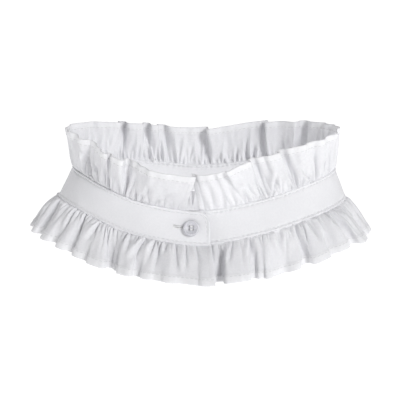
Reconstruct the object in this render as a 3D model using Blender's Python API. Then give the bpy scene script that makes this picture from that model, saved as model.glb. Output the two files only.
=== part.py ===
"""Ruffled neck collar: a buttoned band with a gathered ruffle sewn to its upper and its lower edge.

Metres, +Z up. The origin is the middle of the neck opening, at the height of the band. The button faces -Y.
A place round the neck is a turn in degrees: 0 at the front, 90 at -X, 180 at the back and 270 at +X. The band is one
strip: it starts just past the front, at a turn a little under 0, goes once round and ends under its own start.
"""

import math
from bisect import bisect_right
from collections import namedtuple

import bmesh
import bpy
from mathutils import Matrix, Vector

# The neck opening, measured to the band's lower seam
HALF_WIDTH = 0.0850
FRONT_DEPTH = 0.0530
BACK_DEPTH = 0.0490

# The band
BAND_WIDTH = 0.0196
BAND_WALL = 0.0016
BAND_START = -3.1
BAND_END = 368.5
BAND_COLUMNS = 112
BAND_RAILS = 3
END_CORNER_WIDTH = 0.0062
END_CORNER_HEIGHT = 0.0115
END_COLUMNS = 6

# How far the overlapping ends stand apart, and the turn over which they come together
LAYER_STEP = 0.0023
LAYER_TURN = 46.0

# Ruffles
RUFFLE_WALL = 0.0010
SEAM_GAP = 0.00048
SEAM_TURNOVER = 0.30
UPPER_WIDTH = 0.0244
LOWER_WIDTH = 0.0247
GATHERS = 80
COLUMNS_PER_GATHER = 4
RUFFLE_RAILS = (0.0, 0.13, 0.34, 0.62, 1.0)
GATHER_DEPTH = 0.00085
GATHER_REACH = 0.24
CREASE_DEPTH = 0.0010
FOLD_GROWTH = 1.15
FLARE_AT_SEAM = 1.25
FLARE_FADE = 0.32
STEEPEST = 1.18

# The button
BUTTON_RADIUS = 0.0046
BUTTON_THICKNESS = 0.0022
BUTTON_WELL_RADIUS = 0.0027
BUTTON_WELL_DEPTH = 0.0007
BUTTON_EDGE = 0.0005
BUTTON_HOLE_RADIUS = 0.00055
BUTTON_HOLE_SPACING = 0.0018
BUTTON_TURN = 4.1
BUTTON_HEIGHT = 0.0097
BUTTON_GAP = 0.0004
BUTTON_SEGMENTS = 32
HOLE_SEGMENTS = 10

# What changes round the neck: the lower seam's height, how far the band leans in at its top, and how far the lower
# and the upper ruffle flare out, in degrees from straight down and from straight up
Section = namedtuple("Section", "turn height lean fall rise")
SECTIONS = [
    Section(0, -0.0150, 19, 46, 30),
    Section(15, -0.0130, 19, 47, 26),
    Section(30, -0.0092, 20, 44, 17),
    Section(45, -0.0034, 23, 40, 12),
    Section(60, 0.0014, 26, 41, 14),
    Section(75, 0.0032, 28, 42, 13),
    Section(90, 0.0032, 27, 42, 10),
    Section(120, 0.0022, 22, 38, -3),
    Section(150, -0.0004, 19, 35, -12),
    Section(180, -0.0046, 18, 34, -12),
    Section(210, -0.0002, 17, 34, -6),
    Section(240, 0.0012, 18, 36, -1),
    Section(270, 0.0020, 20, 37, 4),
    Section(285, 0.0014, 19, 41, 7),
    Section(300, -0.0004, 17, 41, 10),
    Section(315, -0.0034, 17, 31, 5),
    Section(330, -0.0078, 18, 20, -3),
    Section(345, -0.0120, 19, 39, 5),
    Section(353, -0.0140, 19, 44, 22),
]

# The ruffles' folds. Each row is one line of cloth, a crest or a trough: the turn where it leaves the seam, the turn
# where it reaches the hem, and how far it stands out there, or in where that is negative
Fold = namedtuple("Fold", "root hem out")
UPPER_FOLDS = [
    Fold(7.0, 2.2, -0.0010),
    Fold(9.8, 5.0, -0.0002),
    Fold(13.2, 9.0, 0.0008),
    Fold(17.5, 14.0, 0.0022),
    Fold(21.5, 18.0, 0.0026),
    Fold(25.5, 22.0, 0.0004),
    Fold(29.5, 26.0, -0.0022),
    Fold(33.0, 29.4, -0.0038),
    Fold(35.4, 32.0, 0.0040),
    Fold(39.0, 35.0, 0.0040),
    Fold(41.2, 37.2, 0.0016),
    Fold(43.2, 39.0, 0.0056),
    Fold(49.0, 44.0, 0.0014),
    Fold(55.0, 50.0, -0.0026),
    Fold(60.0, 56.0, 0.0016),
    Fold(65.0, 62.0, -0.0012),
    Fold(71.0, 70.0, 0.0012),
    Fold(78.0, 78.0, -0.0008),
    Fold(85.5, 86.0, 0.0008),
    Fold(93.0, 94.0, -0.0008),
    Fold(101.0, 102.0, 0.0010),
    Fold(109.0, 110.0, -0.0008),
    Fold(118.0, 119.0, 0.0012),
    Fold(127.0, 128.0, -0.0010),
    Fold(137.5, 138.0, -0.0018),
    Fold(141.5, 141.6, 0.0038),
    Fold(145.0, 145.2, -0.0034),
    Fold(150.0, 150.4, -0.0020),
    Fold(155.0, 154.4, 0.0034),
    Fold(158.0, 157.4, -0.0032),
    Fold(162.5, 161.4, 0.0030),
    Fold(167.0, 166.0, -0.0012),
    Fold(174.0, 174.0, 0.0008),
    Fold(182.5, 181.2, 0.0038),
    Fold(185.6, 184.0, -0.0044),
    Fold(192.0, 191.5, -0.0012),
    Fold(199.0, 199.5, 0.0010),
    Fold(205.0, 206.0, 0.0006),
    Fold(208.6, 208.8, 0.0040),
    Fold(211.6, 211.6, -0.0046),
    Fold(218.0, 219.0, -0.0018),
    Fold(225.0, 226.6, -0.0036),
    Fold(228.4, 229.6, 0.0038),
    Fold(236.0, 238.0, 0.0012),
    Fold(244.0, 246.0, 0.0014),
    Fold(251.0, 253.0, -0.0008),
    Fold(259.0, 260.0, 0.0012),
    Fold(267.0, 267.0, -0.0008),
    Fold(275.0, 275.0, 0.0010),
    Fold(283.0, 283.0, -0.0008),
    Fold(291.0, 291.0, 0.0012),
    Fold(298.5, 299.0, -0.0010),
    Fold(304.0, 305.5, 0.0014),
    Fold(309.0, 311.5, -0.0010),
    Fold(313.5, 317.5, 0.0012),
    Fold(316.6, 321.4, 0.0002),
    Fold(319.4, 326.2, -0.0032),
    Fold(321.8, 329.2, 0.0030),
    Fold(325.5, 332.2, 0.0034),
    Fold(330.0, 335.8, 0.0004),
    Fold(333.6, 339.8, -0.0034),
    Fold(336.0, 342.4, 0.0044),
    Fold(339.2, 346.0, 0.0052),
    Fold(342.4, 349.8, 0.0060),
    Fold(346.5, 353.2, 0.0012),
    Fold(351.5, 357.0, -0.0018),
    Fold(356.5, 360.6, -0.0030),
    Fold(361.0, 364.0, -0.0050),
]
LOWER_FOLDS = [
    Fold(-2.8, -4.4, 0.0030),
    Fold(-0.4, -1.0, 0.0036),
    Fold(3.6, 1.8, 0.0002),
    Fold(8.2, 6.4, -0.0012),
    Fold(12.0, 11.0, 0.0022),
    Fold(15.5, 15.2, -0.0006),
    Fold(18.6, 19.0, 0.0018),
    Fold(22.4, 22.6, -0.0014),
    Fold(25.6, 25.2, 0.0036),
    Fold(28.6, 27.6, 0.0032),
    Fold(32.6, 30.2, -0.0022),
    Fold(36.2, 33.0, -0.0050),
    Fold(38.8, 36.0, 0.0044),
    Fold(41.4, 39.4, 0.0040),
    Fold(43.5, 43.0, 0.0012),
    Fold(46.5, 47.0, 0.0028),
    Fold(50.0, 51.0, -0.0012),
    Fold(54.5, 55.5, 0.0026),
    Fold(58.5, 60.0, -0.0022),
    Fold(65.0, 66.0, 0.0032),
    Fold(71.5, 72.0, -0.0026),
    Fold(78.5, 78.5, 0.0026),
    Fold(85.0, 84.5, -0.0024),
    Fold(92.0, 91.0, 0.0034),
    Fold(99.0, 98.5, -0.0030),
    Fold(106.5, 106.0, 0.0032),
    Fold(113.5, 114.0, -0.0018),
    Fold(120.0, 121.0, 0.0028),
    Fold(126.0, 127.0, -0.0036),
    Fold(130.0, 131.0, 0.0042),
    Fold(137.5, 138.5, -0.0006),
    Fold(144.0, 144.5, 0.0022),
    Fold(150.5, 150.0, -0.0030),
    Fold(155.0, 154.0, 0.0036),
    Fold(162.0, 161.0, -0.0008),
    Fold(168.5, 168.0, 0.0020),
    Fold(174.0, 174.0, -0.0038),
    Fold(178.0, 178.4, 0.0044),
    Fold(185.0, 185.6, 0.0004),
    Fold(191.5, 192.0, -0.0022),
    Fold(197.5, 197.5, 0.0030),
    Fold(204.0, 203.5, -0.0030),
    Fold(208.6, 208.0, 0.0040),
    Fold(216.0, 215.5, -0.0006),
    Fold(223.0, 223.0, 0.0022),
    Fold(230.0, 230.0, -0.0028),
    Fold(236.5, 236.5, 0.0030),
    Fold(243.5, 243.5, -0.0020),
    Fold(251.0, 250.5, -0.0004),
    Fold(258.0, 257.5, 0.0032),
    Fold(265.0, 265.0, -0.0016),
    Fold(272.0, 271.5, 0.0034),
    Fold(279.0, 278.0, 0.0008),
    Fold(286.4, 284.6, -0.0040),
    Fold(293.4, 289.6, 0.0030),
    Fold(297.4, 293.4, 0.0046),
    Fold(300.0, 296.4, -0.0032),
    Fold(305.0, 303.0, 0.0014),
    Fold(309.5, 308.5, -0.0012),
    Fold(314.0, 312.6, 0.0026),
    Fold(318.2, 316.6, 0.0034),
    Fold(320.8, 319.4, -0.0034),
    Fold(325.0, 324.8, 0.0018),
    Fold(329.0, 329.4, -0.0006),
    Fold(333.4, 333.6, 0.0004),
    Fold(335.8, 336.2, 0.0052),
    Fold(338.4, 338.8, 0.0004),
    Fold(341.0, 341.6, -0.0056),
    Fold(344.6, 345.0, 0.0004),
    Fold(347.6, 348.2, 0.0042),
    Fold(350.6, 351.2, 0.0058),
    Fold(353.2, 353.8, -0.0072),
    Fold(356.4, 357.0, -0.0036),
    Fold(359.2, 359.4, -0.0026),
    Fold(362.6, 362.6, -0.0022),
]

Material = namedtuple("Material", "name colour roughness")
COTTON = Material("white_cotton", (0.88, 0.88, 0.90, 1.0), 0.85)
BUTTON_PLASTIC = Material("pearl_button", (0.80, 0.80, 0.83, 1.0), 0.35)


def clear_scene():
    for obj in list(bpy.data.objects):
        bpy.data.objects.remove(obj)


def material_of(look):
    """A plain surface of that colour and roughness."""
    material = bpy.data.materials.get(look.name) or bpy.data.materials.new(look.name)
    material.use_nodes = True
    shader = material.node_tree.nodes["Principled BSDF"]
    shader.inputs["Base Color"].default_value = look.colour
    shader.inputs["Roughness"].default_value = look.roughness
    shader.inputs["Metallic"].default_value = 0.0
    return material


def smooth_step(share):
    share = min(1.0, max(0.0, share))
    return share * share * (3.0 - 2.0 * share)


def section_value(turn, column):
    """A column of SECTIONS at any turn, on a smooth curve through the rows that closes round the neck."""
    turn %= 360.0
    turns = [row.turn for row in SECTIONS]
    count = len(SECTIONS)
    here = bisect_right(turns, turn) - 1

    def row(index):
        wraps, place = divmod(index, count)
        return turns[place] + 360.0 * wraps, getattr(SECTIONS[place], column)

    (t0, p0), (t1, p1), (t2, p2), (t3, p3) = (row(here + step) for step in (-1, 0, 1, 2))
    span = t2 - t1
    share = (turn - t1) / span
    slope_in = (p2 - p0) / (t2 - t0) * span
    slope_out = (p3 - p1) / (t3 - t1) * span
    square, cube = share * share, share * share * share
    return (
        (2 * cube - 3 * square + 1) * p1
        + (cube - 2 * square + share) * slope_in
        + (3 * square - 2 * cube) * p2
        + (cube - square) * slope_out
    )


def outward(turn):
    """The level direction that points straight out of the neck opening's oval."""
    angle = math.radians(turn)
    half_depth = FRONT_DEPTH if math.cos(angle) > 0 else BACK_DEPTH
    return Vector((-math.sin(angle) * half_depth, -math.cos(angle) * HALF_WIDTH, 0.0)).normalized()


def layer(turn):
    """How far the strip is moved out at its start, or in at its end, so that the start lies over the end."""
    from_start = 1.0 - turn / LAYER_TURN
    from_end = 1.0 - (360.0 - turn) / LAYER_TURN
    return 0.5 * LAYER_STEP * (smooth_step(from_start) - smooth_step(from_end))


def lower_seam(turn):
    angle = math.radians(turn)
    half_depth = FRONT_DEPTH if math.cos(angle) > 0 else BACK_DEPTH
    place = Vector((-math.sin(angle) * HALF_WIDTH, -math.cos(angle) * half_depth, section_value(turn, "height")))
    return place + outward(turn) * layer(turn)


def up_the_band(turn):
    """The direction from the band's lower edge to its upper one."""
    lean = math.radians(section_value(turn, "lean"))
    return Vector((0.0, 0.0, math.cos(lean))) - outward(turn) * math.sin(lean)


def band_point(turn, height):
    """A point of the band's middle surface, that far up from its lower edge."""
    return lower_seam(turn) + up_the_band(turn) * height


def band_face(turn):
    """The direction straight out of the band's outer face."""
    lean = math.radians(section_value(turn, "lean"))
    return outward(turn) * math.cos(lean) + Vector((0.0, 0.0, math.sin(lean)))


def add_object(name, points, faces, look):
    mesh = bpy.data.meshes.new(name)
    mesh.from_pydata([tuple(point) for point in points], [], faces)
    mesh.shade_smooth()
    mesh.materials.append(material_of(look))
    obj = bpy.data.objects.new(name, mesh)
    bpy.context.scene.collection.objects.link(obj)
    return obj


def wall_faces(columns, rails):
    """Faces of a closed wall: its outer points come first, column by column, and its inner points follow."""
    inner = columns * rails
    faces = []
    for column in range(columns - 1):
        near, far = column * rails, (column + 1) * rails
        for rail in range(rails - 1):
            a, b, c, d = near + rail, far + rail, far + rail + 1, near + rail + 1
            faces.append((a, b, c, d))
            faces.append((inner + d, inner + c, inner + b, inner + a))
        last = rails - 1
        faces.append((near, inner + near, inner + far, far))
        faces.append((far + last, inner + far + last, inner + near + last, near + last))
    for rail in range(rails - 1):
        faces.append((rail, rail + 1, inner + rail + 1, inner + rail))
        end = (columns - 1) * rails + rail
        faces.append((end + 1, end, inner + end, inner + end + 1))
    return faces


def add_wall(name, grid, normals, thickness, look):
    """A closed wall of even thickness round a grid of middle points, one list for each column."""
    half = 0.5 * thickness
    columns, rails = len(grid), len(grid[0])
    outer = [grid[c][r] + normals[c][r] * half for c in range(columns) for r in range(rails)]
    inner = [grid[c][r] - normals[c][r] * half for c in range(columns) for r in range(rails)]
    obj = add_object(name, outer + inner, wall_faces(columns, rails), look)
    mesh = bmesh.new()
    mesh.from_mesh(obj.data)
    bmesh.ops.recalc_face_normals(mesh, faces=mesh.faces)
    mesh.to_mesh(obj.data)
    mesh.free()
    return obj


def arc_per_degree(turn):
    """How far the lower seam runs in one degree of turn."""
    return (lower_seam(turn + 0.5) - lower_seam(turn - 0.5)).length


def band_turns():
    """The turns of the band's columns, closer together at its rounded ends."""
    corner_start = END_CORNER_WIDTH / arc_per_degree(BAND_START)
    corner_end = END_CORNER_WIDTH / arc_per_degree(BAND_END)
    first, last = BAND_START + corner_start, BAND_END - corner_end
    quarter = [math.pi / 2 * step / END_COLUMNS for step in range(END_COLUMNS)]
    start = [BAND_START + corner_start * (1.0 - math.cos(angle)) for angle in quarter]
    end = [BAND_END - corner_end * (1.0 - math.cos(angle)) for angle in reversed(quarter)]
    middle = [first + (last - first) * step / BAND_COLUMNS for step in range(BAND_COLUMNS + 1)]
    return start + middle + end


def band_top(turn):
    """The band's width at a turn: full, but for the rounded upper corner at each end."""
    from_end = min(turn - BAND_START, BAND_END - turn) * arc_per_degree(turn)
    missing = 1.0 - min(1.0, max(0.0, from_end / END_CORNER_WIDTH))
    return BAND_WIDTH - END_CORNER_HEIGHT * (1.0 - math.sqrt(max(0.0, 1.0 - missing * missing)))


def build_band():
    grid, normals = [], []
    for turn in band_turns():
        heights = [band_top(turn) * rail / (BAND_RAILS - 1) for rail in range(BAND_RAILS)]
        grid.append([band_point(turn, height) for height in heights])
        normals.append([band_face(turn)] * BAND_RAILS)
    return add_wall("collar_band", grid, normals, BAND_WALL, COTTON)


class Ruffle:
    """A gathered strip: small puckers along its seam that run together into the larger folds at its hem."""

    def __init__(self, name, folds, width, upward):
        self.name, self.folds, self.width, self.upward = name, folds, width, upward
        self.marks = [0.0]
        for near, far in zip(folds, folds[1:]):
            along = (far.hem - near.hem) * arc_per_degree(0.5 * (near.hem + far.hem))
            self.marks.append(self.marks[-1] + math.hypot(along, far.out - near.out))
        self.marks = [mark / self.marks[-1] for mark in self.marks]

    def fold_at(self, share):
        """The fold interval that a share of the strip's length lies in, and the share of it."""
        here = min(len(self.folds) - 2, bisect_right(self.marks, share) - 1)
        return here, (share - self.marks[here]) / (self.marks[here + 1] - self.marks[here])

    def pucker(self, share, rise):
        """The gathers' height over the smooth cloth: fine at the seam, and fewer and longer further out."""
        phase = GATHERS * share + 0.30 * math.sin(math.tau * 7.0 * share)
        uneven = 0.78 + 0.22 * math.sin(math.tau * 13.0 * share + 1.0)
        reach = GATHER_REACH * (1.0 + 0.45 * math.sin(math.tau * 9.0 * share + 2.0))
        fine = GATHER_DEPTH * uneven * math.cos(math.tau * phase) * math.exp(-((rise / reach) ** 2))
        long_phase = 0.5 * GATHERS * share + 0.25 * math.sin(math.tau * 5.0 * share)
        swell = math.sin(math.pi * min(1.0, rise / 0.8)) ** 2
        return fine + CREASE_DEPTH * uneven * math.cos(math.tau * long_phase) * swell * (1.0 - rise)

    def point(self, share, rise):
        """A point of the middle surface, rise 0 at the seam and 1 at the hem."""
        here, part = self.fold_at(share)
        near, far = self.folds[here], self.folds[here + 1]
        turn_near = near.root + (near.hem - near.root) * rise
        turn_far = far.root + (far.hem - far.root) * rise
        change = abs(far.out - near.out)
        along = (far.hem - near.hem) * arc_per_degree(0.5 * (near.hem + far.hem))
        steep = min(STEEPEST, 0.85 * change / along) * smooth_step(rise)
        turn = turn_near + (turn_far - turn_near) * (part + steep * math.sin(math.tau * part) / math.tau)
        ease = 0.5 - 0.5 * math.cos(math.pi * part)
        out = (near.out + (far.out - near.out) * ease) * rise**FOLD_GROWTH
        flat = smooth_step((turn - 8.0) / 12.0) * smooth_step((352.0 - turn) / 12.0)
        out += self.pucker(share, rise) * (0.35 + 0.65 * flat)
        flare = math.radians(section_value(turn, "rise" if self.upward else "fall"))
        flare *= FLARE_AT_SEAM - FLARE_FADE * rise
        away = outward(turn)
        sign = 1.0 if self.upward else -1.0
        along_cloth = Vector((0.0, 0.0, sign * math.cos(flare))) + away * math.sin(flare)
        face = away * math.cos(flare) - Vector((0.0, 0.0, sign * math.sin(flare)))
        face = band_face(turn).lerp(face, smooth_step(rise / SEAM_TURNOVER)).normalized()
        edge = BAND_WIDTH + SEAM_GAP if self.upward else -SEAM_GAP
        return band_point(turn, edge) + along_cloth * (self.width * rise) + face * out

    def build(self):
        columns = GATHERS * COLUMNS_PER_GATHER + 1
        shares = [column / (columns - 1) for column in range(columns)]
        grid = [[self.point(share, rise) for rise in RUFFLE_RAILS] for share in shares]
        normals = [self.normals_at(grid, column, share) for column, share in enumerate(shares)]
        return add_wall(self.name, grid, normals, RUFFLE_WALL, COTTON)

    def normals_at(self, grid, column, share):
        """The directions out of the cloth down one column. At the seam they stay level with the band's edge."""
        before, after = grid[max(column - 1, 0)], grid[min(column + 1, len(grid) - 1)]
        points = grid[column]
        last = len(points) - 1
        here, part = self.fold_at(share)
        turn = self.folds[here].root * (1.0 - part) + self.folds[here + 1].root * part
        normals = []
        for rail in range(last + 1):
            across = points[min(rail + 1, last)] - points[max(rail - 1, 0)]
            if rail == 0:
                across = up_the_band(turn) * (1.0 if self.upward else -1.0)
            along = after[rail] - before[rail]
            face = across.cross(along) if self.upward else along.cross(across)
            normals.append(face.normalized())
        return normals


def turned(profile, segments):
    """A closed solid turned round Z from a profile of radius and height pairs that starts and ends on the axis."""
    mesh = bmesh.new()
    points = [mesh.verts.new((radius, 0.0, height)) for radius, height in profile]
    edges = [mesh.edges.new(pair) for pair in zip(points, points[1:])]
    bmesh.ops.spin(
        mesh, geom=points + edges, cent=(0, 0, 0), axis=(0, 0, 1), angle=math.tau, steps=segments, use_merge=True
    )
    bmesh.ops.remove_doubles(mesh, verts=mesh.verts, dist=1e-6)
    bmesh.ops.recalc_face_normals(mesh, faces=mesh.faces)
    return mesh


def button_place():
    """The button's frame: its axis stands straight out of the band's outer face."""
    face = band_face(BUTTON_TURN)
    up = up_the_band(BUTTON_TURN)
    side = up.cross(face)
    seat = band_point(BUTTON_TURN, BUTTON_HEIGHT) + face * (0.5 * BAND_WALL + BUTTON_GAP)
    return Matrix.Translation(seat) @ Matrix((side, up, face)).transposed().to_4x4()


def build_button():
    rim = BUTTON_RADIUS
    top = BUTTON_THICKNESS
    profile = [
        (0.0, 0.0),
        (rim - BUTTON_EDGE, 0.0),
        (rim, BUTTON_EDGE),
        (rim, top - BUTTON_EDGE),
        (rim - BUTTON_EDGE, top),
        (BUTTON_WELL_RADIUS, top),
        (BUTTON_WELL_RADIUS - BUTTON_WELL_DEPTH, top - BUTTON_WELL_DEPTH),
        (0.0, top - BUTTON_WELL_DEPTH),
    ]
    mesh = turned(profile, BUTTON_SEGMENTS)
    data = bpy.data.meshes.new("button")
    mesh.to_mesh(data)
    mesh.free()
    data.materials.append(material_of(BUTTON_PLASTIC))
    button = bpy.data.objects.new("button", data)
    bpy.context.scene.collection.objects.link(button)
    button.matrix_world = button_place()
    for side in (-0.5, 0.5):
        for up in (-0.5, 0.5):
            cut_hole(button, side * BUTTON_HOLE_SPACING, up * BUTTON_HOLE_SPACING)
    data.shade_smooth()
    data.set_sharp_from_angle(angle=math.radians(35))
    return button


def cut_hole(button, side, up):
    """A thread hole right through the button."""
    mesh = bmesh.new()
    bmesh.ops.create_cone(
        mesh,
        cap_ends=True,
        segments=HOLE_SEGMENTS,
        radius1=BUTTON_HOLE_RADIUS,
        radius2=BUTTON_HOLE_RADIUS,
        depth=3.0 * BUTTON_THICKNESS,
    )
    data = bpy.data.meshes.new("button_hole")
    mesh.to_mesh(data)
    mesh.free()
    cutter = bpy.data.objects.new("button_hole_cutter", data)
    bpy.context.scene.collection.objects.link(cutter)
    cutter.matrix_world = button.matrix_world @ Matrix.Translation((side, up, 0.5 * BUTTON_THICKNESS))
    cutter.hide_render = True
    cutter.display_type = "WIRE"
    cut = button.modifiers.new("thread_hole", "BOOLEAN")
    cut.operation = "DIFFERENCE"
    cut.object = cutter


def main():
    clear_scene()
    build_band()
    Ruffle("upper_ruffle", UPPER_FOLDS, UPPER_WIDTH, upward=True).build()
    Ruffle("lower_ruffle", LOWER_FOLDS, LOWER_WIDTH, upward=False).build()
    build_button()


main()
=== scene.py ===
"""The looks of a ruffled neck collar: white cotton poplin, a buttoned band and two gathered ruffles.

Metres, +Z up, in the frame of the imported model. A place round the neck is a turn in degrees: 0 at the front,
90 at -X, 180 at the back and 270 at +X. The sizes and tables down to LOWER_FOLDS are those of the solids, but
for five folds of the lower ruffle just right of the closure, which differ by 1 to 2 mm in depth.
"""

import math
import random
from collections import namedtuple
from itertools import starmap

import bmesh
import bpy
import numpy as np
from mathutils import Matrix, Vector


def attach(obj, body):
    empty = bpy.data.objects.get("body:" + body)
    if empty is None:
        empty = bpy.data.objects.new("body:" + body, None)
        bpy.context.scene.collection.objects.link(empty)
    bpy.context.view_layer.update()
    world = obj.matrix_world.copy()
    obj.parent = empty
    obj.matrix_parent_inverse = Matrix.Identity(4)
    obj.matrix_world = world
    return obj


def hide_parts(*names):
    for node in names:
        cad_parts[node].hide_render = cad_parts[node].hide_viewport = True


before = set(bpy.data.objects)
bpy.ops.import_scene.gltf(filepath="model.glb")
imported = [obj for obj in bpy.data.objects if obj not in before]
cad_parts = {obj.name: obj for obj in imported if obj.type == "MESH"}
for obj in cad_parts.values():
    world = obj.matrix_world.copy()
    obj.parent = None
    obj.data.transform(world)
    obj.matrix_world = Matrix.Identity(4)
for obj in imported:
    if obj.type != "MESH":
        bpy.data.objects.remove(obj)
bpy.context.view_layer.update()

# The neck opening, measured to the band's lower seam
HALF_WIDTH = 0.0850
FRONT_DEPTH = 0.0530
BACK_DEPTH = 0.0490

# The band and its overlap at the front
BAND_WIDTH = 0.0196
BAND_WALL = 0.0016
BAND_START = -3.1
BAND_END = 368.5
END_CORNER_WIDTH = 0.0062
END_CORNER_HEIGHT = 0.0115
LAYER_STEP = 0.0023
LAYER_TURN = 46.0

# The ruffles
UPPER_WIDTH = 0.0244
LOWER_WIDTH = 0.0247
SEAM_TURNOVER = 0.30
FLARE_AT_SEAM = 1.25
FLARE_FADE = 0.32

# The button
BUTTON_RADIUS = 0.0046
BUTTON_THICKNESS = 0.0022
BUTTON_TURN = 4.1
BUTTON_HEIGHT = 0.0097
BUTTON_GAP = 0.0004

# The lower seam's height, and in degrees the band's lean in, the lower ruffle's flare out and the upper one's
Section = namedtuple("Section", "turn height lean fall rise")
SECTIONS = list(starmap(Section, [
    (0, -0.015, 19, 46, 30),
    (15, -0.013, 19, 47, 26),
    (30, -0.0092, 20, 44, 17),
    (45, -0.0034, 23, 40, 12),
    (60, 0.0014, 26, 41, 14),
    (75, 0.0032, 28, 42, 13),
    (90, 0.0032, 27, 42, 10),
    (120, 0.0022, 22, 38, -3),
    (150, -0.0004, 19, 35, -12),
    (180, -0.0046, 18, 34, -12),
    (210, -0.0002, 17, 34, -6),
    (240, 0.0012, 18, 36, -1),
    (270, 0.002, 20, 37, 4),
    (285, 0.0014, 19, 41, 7),
    (300, -0.0004, 17, 41, 10),
    (315, -0.0034, 17, 31, 5),
    (330, -0.0078, 18, 20, -3),
    (345, -0.012, 19, 39, 5),
    (353, -0.014, 19, 44, 22),
]))

# A crest or a trough: its turn at the seam, its turn at the hem, and how far out it stands
Fold = namedtuple("Fold", "root hem out")
UPPER_FOLDS = list(starmap(Fold, [
    (7.0, 2.2, -0.001),
    (9.8, 5.0, -0.0002),
    (13.2, 9.0, 0.0008),
    (17.5, 14.0, 0.0022),
    (21.5, 18.0, 0.0026),
    (25.5, 22.0, 0.0004),
    (29.5, 26.0, -0.0022),
    (33.0, 29.4, -0.0038),
    (35.4, 32.0, 0.004),
    (39.0, 35.0, 0.004),
    (41.2, 37.2, 0.0016),
    (43.2, 39.0, 0.0056),
    (49.0, 44.0, 0.0014),
    (55.0, 50.0, -0.0026),
    (60.0, 56.0, 0.0016),
    (65.0, 62.0, -0.0012),
    (71.0, 70.0, 0.0012),
    (78.0, 78.0, -0.0008),
    (85.5, 86.0, 0.0008),
    (93.0, 94.0, -0.0008),
    (101.0, 102.0, 0.001),
    (109.0, 110.0, -0.0008),
    (118.0, 119.0, 0.0012),
    (127.0, 128.0, -0.001),
    (137.5, 138.0, -0.0018),
    (141.5, 141.6, 0.0038),
    (145.0, 145.2, -0.0034),
    (150.0, 150.4, -0.002),
    (155.0, 154.4, 0.0034),
    (158.0, 157.4, -0.0032),
    (162.5, 161.4, 0.003),
    (167.0, 166.0, -0.0012),
    (174.0, 174.0, 0.0008),
    (182.5, 181.2, 0.0038),
    (185.6, 184.0, -0.0044),
    (192.0, 191.5, -0.0012),
    (199.0, 199.5, 0.001),
    (205.0, 206.0, 0.0006),
    (208.6, 208.8, 0.004),
    (211.6, 211.6, -0.0046),
    (218.0, 219.0, -0.0018),
    (225.0, 226.6, -0.0036),
    (228.4, 229.6, 0.0038),
    (236.0, 238.0, 0.0012),
    (244.0, 246.0, 0.0014),
    (251.0, 253.0, -0.0008),
    (259.0, 260.0, 0.0012),
    (267.0, 267.0, -0.0008),
    (275.0, 275.0, 0.001),
    (283.0, 283.0, -0.0008),
    (291.0, 291.0, 0.0012),
    (298.5, 299.0, -0.001),
    (304.0, 305.5, 0.0014),
    (309.0, 311.5, -0.001),
    (313.5, 317.5, 0.0012),
    (316.6, 321.4, 0.0002),
    (319.4, 326.2, -0.0032),
    (321.8, 329.2, 0.003),
    (325.5, 332.2, 0.0034),
    (330.0, 335.8, 0.0004),
    (333.6, 339.8, -0.0034),
    (336.0, 342.4, 0.0044),
    (339.2, 346.0, 0.0052),
    (342.4, 349.8, 0.006),
    (346.5, 353.2, 0.0012),
    (351.5, 357.0, -0.0018),
    (356.5, 360.6, -0.003),
    (361.0, 364.0, -0.005),
]))
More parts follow.
